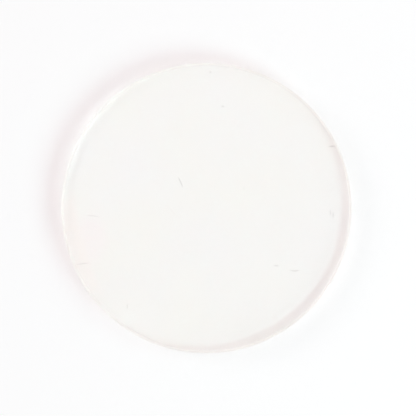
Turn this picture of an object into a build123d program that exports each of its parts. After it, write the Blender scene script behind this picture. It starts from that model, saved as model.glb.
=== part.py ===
from build123d import *
import os

# Flat round watch crystal: one plate of clear mineral glass, ground to a disc.
# Millimetres. The origin is the centre of the inner face, which seats on the
# case's ledge, and +Z points out of the watch.

# Plate
crystal_diameter = 35.0
crystal_thickness = 1.5

# Bevels, measured along the face and down the edge alike
outer_bevel_leg = 0.25
seat_bevel_leg = 0.20

# Rounding left on each arris by the last pass of the grinding wheel
arris_radius = 0.05


def half_section():
    """Half of the disc's cross-section, from its axis out to the ground edge."""
    edge_radius = crystal_diameter / 2
    outline = Polyline(
        (0, 0),
        (edge_radius - seat_bevel_leg, 0),
        (edge_radius, seat_bevel_leg),
        (edge_radius, crystal_thickness - outer_bevel_leg),
        (edge_radius - outer_bevel_leg, crystal_thickness),
        (0, crystal_thickness),
        close=True,
    )
    section = make_face(Plane.XZ * outline)
    arrises = section.vertices().filter_by(lambda corner: corner.X > 0)
    return fillet(arrises, arris_radius)


def make_crystal():
    """The plate: two polished faces, two bevels and a ground edge."""
    return revolve(half_section(), axis=Axis.Z)


def main():
    os.makedirs("parts", exist_ok=True)
    export_step(make_crystal(), "parts/crystal.step")


main()
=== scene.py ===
# %% [markdown]
# # A flat watch crystal, dressed in Blender
# A watch crystal is one round plate of clear glass, cut from sheet, ground true at the edge and bevelled on
# both arrises, so that it drops into a watch case and seals on a gasket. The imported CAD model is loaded
# first and stays as the fixed frame: every length below is taken from it or agrees with it, in metres.

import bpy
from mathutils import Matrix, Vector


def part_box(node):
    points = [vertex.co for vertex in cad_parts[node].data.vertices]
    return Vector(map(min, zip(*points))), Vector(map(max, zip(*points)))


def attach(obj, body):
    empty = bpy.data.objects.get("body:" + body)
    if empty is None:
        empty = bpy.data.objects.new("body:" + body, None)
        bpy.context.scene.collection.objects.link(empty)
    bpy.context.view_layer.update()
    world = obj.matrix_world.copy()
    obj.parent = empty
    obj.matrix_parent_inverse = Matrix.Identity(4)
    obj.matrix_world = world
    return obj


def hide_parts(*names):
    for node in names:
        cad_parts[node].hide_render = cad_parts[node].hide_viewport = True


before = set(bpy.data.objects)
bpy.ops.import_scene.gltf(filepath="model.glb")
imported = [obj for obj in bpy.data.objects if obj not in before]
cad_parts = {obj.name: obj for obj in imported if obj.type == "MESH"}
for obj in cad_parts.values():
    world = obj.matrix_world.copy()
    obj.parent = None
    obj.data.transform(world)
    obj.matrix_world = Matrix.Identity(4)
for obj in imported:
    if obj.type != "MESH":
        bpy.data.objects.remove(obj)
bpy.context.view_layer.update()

# %% [markdown]
# Small lengths are written in millimetres, as on a watchmaker's drawing, and one factor turns them into
# Blender's metres. The Standard view shows each colour as it is written, which suits pale glass on white.

# %% Millimetres and a plain view of colours
import math

import bmesh
import bpy
from mathutils import Vector

MM = 0.001
watch_scene = bpy.context.scene
watch_scene.view_settings.view_transform = "Standard"
print("view of colours:", watch_scene.view_settings.view_transform)

# %% [markdown]
# Clear glass shows light that has crossed it many times: in through the ground edge, along the plate by
# total reflection and out at the far side. So the renderer may follow a ray through many surfaces, and it
# neither clips the bright ones nor blurs them. White paper hands light back and forth with the glass as
# well.

# %% Let light run through the plate
GLASS_BOUNCES = 200
PAPER_BOUNCES = 64
watch_scene.cycles.max_bounces = GLASS_BOUNCES
watch_scene.cycles.transmission_bounces = GLASS_BOUNCES
watch_scene.cycles.glossy_bounces = GLASS_BOUNCES
watch_scene.cycles.diffuse_bounces = PAPER_BOUNCES
watch_scene.cycles.sample_clamp_indirect = 0.0
watch_scene.cycles.blur_glossy = 0.0
print("bounces in glass:", GLASS_BOUNCES, "and off paper:", PAPER_BOUNCES)

# %% [markdown]
# The plate could be a lathe profile with a Screw modifier, or a cylinder with a Bevel. Here the rings are
# placed in code, because glass bends light by the exact slope of each surface: the two faces must be dead
# flat and the arrises, where two surfaces meet, have to be rounded by the few hundredths of a millimetre
# that a grinding wheel leaves. The frame gives the diameter and the thickness; the legs of the bevels and
# the rounding are those of the CAD part.

# %% Measure the plate
plate_low, plate_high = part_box("crystal")
edge_radius = (plate_high.x - plate_low.x) / 2
outer_face_height = plate_high.z
outer_bevel_leg = 0.25 * MM
seat_bevel_leg = 0.20 * MM
arris_radius = 0.05 * MM
print("plate, mm: diameter", round(2 * edge_radius / MM, 3), "thickness", round(outer_face_height / MM, 3))

# %% [markdown]
# Half of the plate's section is a line through six corners, from the axis on the inner face, round the rim,
# to the axis on the outer face. At the four corners of the rim a small arc that touches both runs takes the
# corner's place. It is stepped by angle, so each of its points knows which way the surface faces there.

# %% Round each arris of the ground profile
ARRIS_STEPS = 3


def rounded_arris(before, corner, after):
    """Points and outward slopes of the small arc that replaces a corner between two straight runs."""
    arriving = (corner - before).normalized()
    leaving = (after - corner).normalized()
    half_turn = math.acos(arriving.dot(leaving)) / 2
    setback = arris_radius * math.tan(half_turn)
    inward = (leaving - arriving).normalized()
    centre = corner + inward * arris_radius / math.cos(half_turn)
    first_slope = (corner - arriving * setback - centre).normalized()
    start = math.atan2(first_slope.y, first_slope.x)
    arc = []
    for step in range(ARRIS_STEPS + 1):
        angle = start + 2 * half_turn * step / ARRIS_STEPS
        slope = Vector((math.cos(angle), math.sin(angle)))
        arc.append((centre + slope * arris_radius, slope))
    return arc


corners = [
    Vector((0, 0)),
    Vector((edge_radius - seat_bevel_leg, 0)),
    Vector((edge_radius, seat_bevel_leg)),
    Vector((edge_radius, outer_face_height - outer_bevel_leg)),
    Vector((edge_radius - outer_bevel_leg, outer_face_height)),
    Vector((0, outer_face_height))]
arcs = [rounded_arris(*corners[k - 1:k + 2]) for k in range(1, len(corners) - 1)]
print("profile points:", sum(len(arc) for arc in arcs))

# %% [markdown]
# Each point of the profile becomes a ring, and two rings hold a band of four-sided faces between them. A
# band belongs to the seat bevel, the edge or the outer bevel and keeps the number of that finish. With 720
# steps the rim strays from a true circle by less than a thousandth of a millimetre. Each flat face is one
# polygon.

# %% Turn the profile into rings
SEGMENTS = 720
INNER_FACE, OUTER_FACE, SEAT_BEVEL, OUTER_BEVEL, EDGE = range(5)


def ring_of_points(mesh_build, radius, height):
    """One ring of points round the plate's axis."""
    ring = []
    for step in range(SEGMENTS):
        turn = 2 * math.pi * step / SEGMENTS
        ring.append(mesh_build.verts.new((radius * math.cos(turn), radius * math.sin(turn), height)))
    return ring


plate_build = bmesh.new()
rings = []
ring_slopes = []
band_finish = []
for index, arc in enumerate(arcs):
    for place, (point, slope) in enumerate(arc):
        rings.append(ring_of_points(plate_build, point.x, point.y))
        ring_slopes.append(slope)
        # The edge is the one band between the second arris and the third.
        on_edge = index == 1 and place == ARRIS_STEPS
        bevel = SEAT_BEVEL if index < 2 else OUTER_BEVEL
        band_finish.append(EDGE if on_edge else bevel)
for lower, upper, finish in zip(rings, rings[1:], band_finish):
    for step in range(SEGMENTS):
        after = (step + 1) % SEGMENTS
        quad = plate_build.faces.new((lower[step], lower[after], upper[after], upper[step]))
        quad.material_index = finish
plate_build.faces.new(list(reversed(rings[0]))).material_index = INNER_FACE
plate_build.faces.new(rings[-1]).material_index = OUTER_FACE
print("rings:", len(rings), "of", SEGMENTS, "points")

# %% [markdown]
# Smooth shading alone would mix the slopes of neighbouring faces and bend light where the real plate is
# flat. So the mesh is given the profile's own slopes as custom normals, one for each point of each ring.

# %% Make the plate's mesh and give it true slopes
plate_mesh = bpy.data.meshes.new("crystal_glass")
plate_build.to_mesh(plate_mesh)
plate_build.free()
slopes = []
for slope in ring_slopes:
    for step in range(SEGMENTS):
        turn = 2 * math.pi * step / SEGMENTS
        slopes.append((slope.x * math.cos(turn), slope.x * math.sin(turn), slope.y))
for face in plate_mesh.polygons:
    face.use_smooth = True
plate_mesh.normals_split_custom_set_from_vertices(slopes)
crystal_glass = bpy.data.objects.new("crystal_glass", plate_mesh)
watch_scene.collection.objects.link(crystal_glass)
print("plate mesh:", len(plate_mesh.vertices), "points,", len(plate_mesh.polygons), "faces")

# %% [markdown]
# Colours are written as sRGB hex, the numbers a colour picker shows, and turned to the linear values that
# the renderer works with. One helper adds a node, sets what is given and links what comes from other nodes.

# %% Colour and node helpers
def linear(hex_colour):
    """Linear red, green, blue and alpha from an sRGB hex colour."""
    channels = []
    for start in (1, 3, 5):
        value = int(hex_colour[start:start + 2], 16) / 255
        channels.append(value / 12.92 if value <= 0.04045 else ((value + 0.055) / 1.055) ** 2.4)
    return (*channels, 1.0)


def add_node(tree, kind, properties=None, inputs=None):
    """Adds a node, sets its properties, then sets or links each named or numbered input."""
    made = tree.nodes.new("ShaderNode" + kind)
    for name, value in (properties or {}).items():
        setattr(made, name, value)
    for socket, value in (inputs or {}).items():
        if isinstance(value, bpy.types.NodeSocket):
            tree.links.new(value, made.inputs[socket])
        else:
            made.inputs[socket].default_value = value
    return made


def bare_material(name):
    """An empty node material, its tree and the object's own coordinates in metres."""
    material = bpy.data.materials.new(name)
    material.use_nodes = True
    tree = material.node_tree
    tree.nodes.clear()
    return material, tree, add_node(tree, "TexCoord").outputs["Object"]


def tinted(tree, under, over, share):
    """One colour laid over another by a share from 0 to 1."""
    return add_node(tree, "Mix", {"data_type": "RGBA"}, {0: share, 6: under, 7: over}).outputs[2]


def finish_material(tree, shader):
    """Sends a shader to the material's output."""
    add_node(tree, "OutputMaterial", inputs={"Surface": shader.outputs[0]})


print("half grey as light:", round(linear("#808080")[0], 3))

# %% [markdown]
# Both faces are lapped and polished, with no roughness to speak of, so the eye knows them only by what they
# mirror and by what they dim. Window glass has an index of 1.52 and sapphire 1.77. The crescent inside the
# near rim is only as wide as an index near 1.65 leaves it, so the plate is taken as a dense mineral glass.
# Glass is never quite colourless either: the faces carry a breath of warm tint that drifts over the plate
# at the scale of the ream, the slow streaks left in drawn sheet, some 10 mm apart. Light that comes up
# through the plate meets both faces, so each holds a part of the tint.

# %% Polished glass and the tint of the sheet it is cut from
GLASS_INDEX = 1.65
REAM = 10 * MM
# A noise texture keeps mostly between these two values, which are spread over the whole range from 0 to 1.
NOISE_REACH = {"From Min": 0.3, "From Max": 0.7}


def sheet_tint(tree, place, warm, clear):
    """The slow drift of colour in sheet glass, from a warmer to a clearer tint."""
    ream = add_node(tree, "TexNoise", inputs={"Vector": place, "Scale": 1 / REAM, "Detail": 1.0})
    drift = add_node(tree, "MapRange", inputs={"Value": ream.outputs["Fac"], **NOISE_REACH})
    return tinted(tree, linear(warm), linear(clear), drift.outputs[0])


def polished_glass(tree, tint):
    """A polished face: nothing scatters, the tint is all that is lost."""
    return add_node(tree, "BsdfPrincipled", inputs={
        "Base Color": tint, "Roughness": 0.0, "IOR": GLASS_INDEX, "Transmission Weight": 1.0})


print("index:", GLASS_INDEX, "ream, mm:", round(REAM / MM, 1))

# %% [markdown]
# The outer face has been handled, and a few specks and short fibres of dust lie about. A faint pink is
# painted at the left as well: painted shadow colour, the pink of the shadow just outside the rim there. Each
# of them is one soft oval: the face's coordinates are moved, turned and scaled until the oval is a circle of
# radius one, and a spherical gradient fills it. Where a fibre sags, or a stroke follows the rim, the square
# of the lengthwise coordinate is taken from the crosswise one first.

# %% A soft oval anywhere on a face
def soft_oval(tree, place, x, y, turn, half_length, half_width, sag, hardness):
    """A share of 1 in the middle of an oval, falling to 0 at its rim; lengths in mm, sag in half widths."""
    own = add_node(tree, "Mapping", {"vector_type": "TEXTURE"}, {
        "Vector": place,
        "Location": (x * MM, y * MM, outer_face_height),
        "Rotation": (0.0, 0.0, math.radians(turn)),
        "Scale": (half_length * MM, half_width * MM, MM)}).outputs[0]
    if sag:
        parts = add_node(tree, "SeparateXYZ", inputs={0: own})
        square = add_node(tree, "Math", {"operation": "MULTIPLY"}, {0: parts.outputs[0], 1: parts.outputs[0]})
        bent = add_node(tree, "Math", {"operation": "MULTIPLY_ADD"}, {
            0: square.outputs[0], 1: -sag, 2: parts.outputs[1]})
        own = add_node(tree, "CombineXYZ", inputs={0: parts.outputs[0], 1: bent.outputs[0]}).outputs[0]
    cone = add_node(tree, "TexGradient", {"gradient_type": "SPHERICAL"}, {"Vector": own})
    return add_node(tree, "Math", {"operation": "MULTIPLY", "use_clamp": True}, {
        0: cone.outputs["Fac"], 1: hardness}).outputs[0]


# %% [markdown]
# The pink at the left is painted shadow colour: a patch, and a stroke along the rim a little warmer, beside
# the pink shadow outside the rim. Their ovals are hard ones, filled over most of their width. A fibre is
# round and darkest in its middle, so its oval is softer. Dust is a warm grey.

# %% Painted shadow colour and dust
# Painted shadow colour: the pink patch and the stroke along the left rim.
SHADOW_TINT_HARDNESS = 2.5
# Colour, place, turn in degrees, half length, half width and sag. Lengths in mm.
PINK_SHADOW_TINTS = (
    ("#FFFBFB", -14.10, -3.80, 90, 3.50, 2.50, 0.0),
    ("#FFFAF8", -15.86, -4.55, 106, 7.60, 1.40, -1.2))
DUST_GREY = "#8A857F"
DUST_HARDNESS = 1.8
# Place, turn in degrees, half length, half width, sag and how much light it stops. Lengths in mm.
DUST = (
    (-3.12, 3.14, 114, 0.86, 0.11, 0.6, 0.27),
    (0.48, 16.38, -8, 0.22, 0.16, 0.0, 0.20),
    (1.98, 12.27, 0, 0.28, 0.17, 0.0, 0.21),
    (15.12, 7.46, 0, 0.56, 0.10, 0.0, 0.36),
    (14.95, -0.52, 90, 0.46, 0.12, 0.0, 0.21),
    (15.27, -0.83, 90, 0.46, 0.12, 0.0, 0.21),
    (8.40, -6.94, -2, 0.42, 0.14, 0.0, 0.22),
    (10.66, -7.58, 0, 0.78, 0.09, 2.4, 0.30),
    (-9.55, -11.86, 90, 0.38, 0.14, 0.0, 0.19),
    (-13.66, -0.92, -8, 0.95, 0.10, -1.6, 0.19),
    (-14.90, -6.68, 7, 0.86, 0.10, -1.0, 0.24),
    (4.52, 2.40, 90, 0.40, 0.14, 0.0, 0.11),
    (-4.20, -0.30, -45, 0.92, 0.10, 0.0, 0.11))


def with_pink_shadow_tint(tree, place, tint):
    """Paints the pink shadow colour of each patch over the face's tint."""
    for colour, *oval in PINK_SHADOW_TINTS:
        share = soft_oval(tree, place, *oval, SHADOW_TINT_HARDNESS)
        tint = tinted(tree, tint, linear(colour), share)
    return tint


def dusty(tree, place, tint):
    """Lays the grey of the dust over the face's tint, as far as it stops the light."""
    share = 0.0
    for *oval, stopped in DUST:
        speck = soft_oval(tree, place, *oval, DUST_HARDNESS)
        share = add_node(tree, "Math", {"operation": "MULTIPLY_ADD", "use_clamp": True}, {
            0: speck, 1: stopped, 2: share}).outputs[0]
    return tinted(tree, tint, linear(DUST_GREY), share)


print("pink_shadow_tints:", len(PINK_SHADOW_TINTS), "specks and fibres:", len(DUST))

# %% [markdown]
# Shade is painted on the face as well. A thin painted shade lies on the whole face and grows toward the
# window at the lower right. And a soft band of painted shade lies just short of the rim, some 2 mm wide from
# foot to foot, which shows on the window's side and lets the crescent's shadow fade into the face.

# %% Painted shade toward the window and inside the near rim
WINDOW_SIDE = math.radians(-35)
TOWARD_WINDOW = (math.cos(WINDOW_SIDE), math.sin(WINDOW_SIDE))
# Painted shade: this grey darkens the face more and more toward the window.
WINDOW_SHADE_GREY = "#FBFBF9"
# Painted shade: this grey paints a band inside the near rim, the fading edge of the crescent's shadow.
TAIL_SHADE_GREY = "#F6F6F4"
# The band's two flanks, each from where the painted shade is nothing to where it is full, as shares of the
# plate's radius.
TAIL_SHADE_FLANKS = ((0.80, 0.89), (0.935, 0.885))


def share_along(tree, place, direction, reach):
    """How far each point lies along a direction, from 0 at the plate's axis to 1 at the reach."""
    scaled = (direction[0] / reach, direction[1] / reach, 0.0)
    return add_node(tree, "VectorMath", {"operation": "DOT_PRODUCT"}, {0: place, 1: scaled}).outputs["Value"]


def with_window_shade(tree, place, tint):
    """Paints shade over the face's tint, from nothing at the far rim to all of it at the window's side."""
    window_shade = add_node(tree, "MapRange", {"interpolation_type": "SMOOTHSTEP"}, {
        "Value": share_along(tree, place, TOWARD_WINDOW, edge_radius), "From Min": -1.0, "From Max": 1.0})
    return tinted(tree, tint, linear(WINDOW_SHADE_GREY), window_shade.outputs[0])


def with_tail_shade(tree, place, tint):
    """Paints a band of shade over the face's tint: inside the rim, thickest toward the window, where the
    crescent's shadow fades.
    """
    from_axis = add_node(tree, "VectorMath", {"operation": "LENGTH"}, {0: place}).outputs["Value"]
    flanks = []
    for clean, full in TAIL_SHADE_FLANKS:
        flanks.append(add_node(tree, "MapRange", {"interpolation_type": "SMOOTHSTEP"}, {
            "Value": from_axis, "From Min": clean * edge_radius, "From Max": full * edge_radius}).outputs[0])
    band = add_node(tree, "Math", {"operation": "MULTIPLY"}, {0: flanks[0], 1: flanks[1]})
    near = add_node(tree, "MapRange", inputs={"Value": share_along(tree, place, TOWARD_WINDOW, edge_radius)})
    squared = add_node(tree, "Math", {"operation": "POWER"}, {0: near.outputs[0], 1: 2.0})
    share = add_node(tree, "Math", {"operation": "MULTIPLY"}, {0: band.outputs[0], 1: squared.outputs[0]})
    return tinted(tree, tint, linear(TAIL_SHADE_GREY), share.outputs[0])


print("tail_shade, mm from the axis:", [round(clean * edge_radius / MM, 1) for clean, full in TAIL_SHADE_FLANKS])

# %% [markdown]
# The inner face is clean and only tinted. The outer face starts from a slightly deeper tint and takes, one
# over the other, the painted shade toward the window, the painted shade band inside the near rim, the painted
# pink shadow colour and the dust.

# %% The two polished faces
def polished_inner_face():
    """The face toward the dial, clean."""
    material, tree, place = bare_material("polished_inner_face")
    finish_material(tree, polished_glass(tree, sheet_tint(tree, place, "#FFFEFC", "#FFFEFE")))
    return material


def polished_outer_face():
    """The face that is touched: its tint with painted shade, painted shadow colour and dust laid over it."""
    material, tree, place = bare_material("polished_outer_face")
    tint = sheet_tint(tree, place, "#FDFDFA", "#FDFDFC")
    for laid_over in (with_window_shade, with_tail_shade, with_pink_shadow_tint, dusty):
        tint = laid_over(tree, place, tint)
    finish_material(tree, polished_glass(tree, tint))
    return material


# %% [markdown]
# The edge and the bevels are ground with a diamond wheel and left matt. A ground surface is a field of tiny
# pits, so light that enters it scatters widely and a little of it is turned back, which gives the eye a
# satin line round the plate. The wheel turns along the rim, so its scratches run round the plate: a noise
# stretched to 3 mm along the rim and 0.12 mm across it. Real scratches are some 0.02 mm apart; they are
# drawn coarser so that a close view still shows them.

# %% Ground glass
SCRATCH_LENGTH = 3.0 * MM
SCRATCH_PITCH = 0.12 * MM
SCRATCH_DEPTH = 0.01 * MM
RELIEF_STRENGTH = 0.38
ROUGHNESS_SPREAD = 0.06


def ground_glass(name, deep, pale, roughness, clear_share):
    """Glass with the wheel's deep and pale scratches; light still passes a clear_share of it."""
    material, tree, place = bare_material(name)
    stretched = add_node(tree, "Mapping", inputs={
        "Vector": place, "Scale": (1 / SCRATCH_LENGTH, 1 / SCRATCH_LENGTH, 1 / SCRATCH_PITCH)})
    scratches = add_node(tree, "TexNoise", inputs={
        "Vector": stretched.outputs[0], "Scale": 1.0, "Detail": 2.0}).outputs["Fac"]
    relief = add_node(tree, "Bump", inputs={
        "Height": scratches, "Strength": RELIEF_STRENGTH, "Distance": SCRATCH_DEPTH})
    paleness = add_node(tree, "MapRange", inputs={"Value": scratches, **NOISE_REACH}).outputs[0]
    matt = add_node(tree, "MapRange", inputs={
        "Value": paleness, "To Min": roughness - ROUGHNESS_SPREAD, "To Max": roughness + ROUGHNESS_SPREAD})
    finish_material(tree, add_node(tree, "BsdfPrincipled", inputs={
        "Base Color": tinted(tree, linear(deep), linear(pale), paleness),
        "Roughness": matt.outputs[0], "IOR": GLASS_INDEX, "Transmission Weight": clear_share,
        "Normal": relief.outputs[0]}))
    return material


print("scratches, mm:", round(SCRATCH_LENGTH / MM, 2), "long,", round(SCRATCH_PITCH / MM, 2), "apart")

# %% [markdown]
# The outer bevel is seen, so it gets the finest wheel, and the seat bevel, hidden in the case, the coarsest.
# The five materials go on in the order of the finish numbers that the bands and the faces were given. Then
# the plate rides on the part's one body and takes the place of the CAD's plate.

# %% Dress the plate
for finish in (polished_inner_face(), polished_outer_face(),
               ground_glass("wheel_ground_seat_bevel", "#F2F0EC", "#F9F8F5", 0.75, 1.0),
               ground_glass("wheel_ground_bevel", "#F7F5F1", "#FEFDFA", 0.62, 1.0),
               ground_glass("wheel_ground_edge", "#FDF4F2", "#FFF8F9", 0.69, 0.92)):
    plate_mesh.materials.append(finish)
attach(crystal_glass, "root")
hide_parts("crystal")
print("finishes:", [finish.name for finish in plate_mesh.materials])

# %% [markdown]
# The stage is a sheet of white paper, far wider than the view. It has a little cockle, so a hair of air
# stays between it and the glass, since glass fused to paper would look wet.

# %% White paper floor
AIR_GAP = 0.048 * MM
PAPER_REACH = 1.5
paper_build = bmesh.new()
bmesh.ops.create_grid(paper_build, x_segments=1, y_segments=1, size=PAPER_REACH)
paper_mesh = bpy.data.meshes.new("paper_floor")
paper_build.to_mesh(paper_mesh)
paper_build.free()
paper_floor = bpy.data.objects.new("paper_floor", paper_mesh)
watch_scene.collection.objects.link(paper_floor)
paper_floor.location.z = plate_low.z - AIR_GAP
print("air under the plate, mm:", round(AIR_GAP / MM, 3))

# %% [markdown]
# Uncoated paper is matt: it sends light back evenly and has no gloss, so its shader is all roughness and no
# mirror. Its white carries painted light, since the room lights the sheet unevenly: it is painted greyer at
# the left and paler at the right. At the plate's axis it is half way from its greyer white to its paler one,
# and 25 mm to the right it has gone a third of the rest.

# %% The paper's white, with painted light
# Painted light: the direction in which the paper's white is painted paler.
PAPER_LIGHT_SLOPE = (0.33, 0.09)
PAPER_SPAN = 25 * MM
paper, paper_tree, paper_place = bare_material("matt_white_paper")
paleness = add_node(paper_tree, "MapRange", inputs={
    "Value": share_along(paper_tree, paper_place, PAPER_LIGHT_SLOPE, PAPER_SPAN), "From Min": -1.0})
finish_material(paper_tree, add_node(paper_tree, "BsdfPrincipled", inputs={
    "Base Color": tinted(paper_tree, linear("#FAFBFB"), linear("#FFFFFF"), paleness.outputs[0]),
    "Roughness": 1.0, "Specular IOR Level": 0.0}))
paper_mesh.materials.append(paper)
print("paper:", paper.name)

# %% [markdown]
# The room is an even white dome. Under an even dome clear glass vanishes, since whatever it turns aside is
# as bright as what it hides. The dome lights with its own strength; where a ray from the camera, or its
# mirror or glass continuation, meets it before it has met any paper, it shows plain white.

# %% The room's soft light
DOME_WHITE = "#FFF5F6"
DOME_STRENGTH = 0.82
room = bpy.data.worlds.new("white_room")
watch_scene.world = room
room.use_nodes = True
room_tree = room.node_tree
room_tree.nodes.clear()
ray = add_node(room_tree, "LightPath")
mirrored = add_node(room_tree, "Math", {"operation": "MAXIMUM"}, {
    0: ray.outputs["Is Glossy Ray"], 1: ray.outputs["Is Transmission Ray"]})
seen = add_node(room_tree, "Math", {"operation": "MAXIMUM"}, {
    0: ray.outputs["Is Camera Ray"], 1: mirrored.outputs[0]})
before_paper = add_node(room_tree, "Math", {"operation": "LESS_THAN"}, {
    0: ray.outputs["Diffuse Depth"], 1: 0.5})
direct = add_node(room_tree, "Math", {"operation": "MULTIPLY"}, {
    0: seen.outputs[0], 1: before_paper.outputs[0]})
dome = add_node(room_tree, "Background", inputs={"Color": linear(DOME_WHITE), "Strength": DOME_STRENGTH})
white = add_node(room_tree, "Background", inputs={"Color": linear("#FFFFFF"), "Strength": 1.0})
either = add_node(room_tree, "MixShader", inputs={
    0: direct.outputs[0], 1: dome.outputs[0], 2: white.outputs[0]})
add_node(room_tree, "OutputWorld", inputs={"Surface": either.outputs[0]})
print("dome strength:", DOME_STRENGTH)

# %% [markdown]
# What draws the plate is light that comes from one side. A low, wide, cool window at the lower right throws
# the shadow past the far rim, leaves a dark crescent inside the near rim and, piped along the glass, lights
# a bright arc inside the far one. A dimmer part of it lies further round to the right, and a pale wall
# opposite returns some light, which greys the paper a little beyond the near rim. Each is an oval lamp, and
# its share says nearly how much of white it lays on the paper at the plate.

# %% Windows and the wall opposite
# Name, turn and slant in degrees, distance, height and width in metres, share, colour.
WINDOWS = (
    ("low_window", -38.7, 65.06, 0.65, 0.270, 0.383, 0.1660, "#D2FFFD"),
    ("side_window", 4.2, 66.8, 0.65, 0.285, 0.306, 0.0415, "#D2FFFD"),
    ("pale_wall", 156.5, 67.8, 0.60, 0.250, 0.365, 0.0625, "#FFFFFF"))
for name, turn, slant, distance, height, width, share, colour in WINDOWS:
    slant = math.radians(slant)
    turn = math.radians(turn)
    outward = Vector((math.cos(turn) * math.sin(slant), math.sin(turn) * math.sin(slant), math.cos(slant)))
    window = bpy.data.lights.new(name, "AREA")
    window.shape = "ELLIPSE"
    window.size = width
    window.size_y = height
    window.color = linear(colour)[:3]
    # The watts at which a small lamp lays this share of white on level paper; so wide a one lays 5% less.
    window.energy = share * math.pi ** 2 * distance ** 2 / math.cos(slant)
    lamp = bpy.data.objects.new(name, window)
    lamp.location = outward * distance
    lamp.rotation_mode = "QUATERNION"
    lamp.rotation_quaternion = (-outward).to_track_quat("-Z", "Y")
    lamp.visible_camera = False
    watch_scene.collection.objects.link(lamp)
    print(name, "W:", round(window.energy, 3))

# %% [markdown]
# The camera looks straight down from 0.3 m. Its lens is as long as a macro stand's, so the plate's edge
# stays thin, and is worked out from how large the plate is in the picture. The camera stands a little aside
# instead of shifting its lens, because the plate isn't quite in the picture's middle.

# %% Camera straight above
FRAME_PIXELS = 416
plate_radius_pixels = 145.16
plate_centre_pixels = (206.50, 208.12)
camera_height = 0.30
pixels_per_metre = plate_radius_pixels / edge_radius
camera = bpy.data.cameras.new("camera")
camera.sensor_width = 36
camera.lens = camera.sensor_width * camera_height * pixels_per_metre / FRAME_PIXELS
camera.clip_start = 0.01
view_camera = bpy.data.objects.new("camera", camera)
watch_scene.collection.objects.link(view_camera)
aside = (FRAME_PIXELS / 2 - plate_centre_pixels[0]) / pixels_per_metre
along = (plate_centre_pixels[1] - FRAME_PIXELS / 2) / pixels_per_metre
view_camera.location = (aside, along, outer_face_height + camera_height)
watch_scene.camera = view_camera
print("lens, mm:", round(camera.lens, 1))
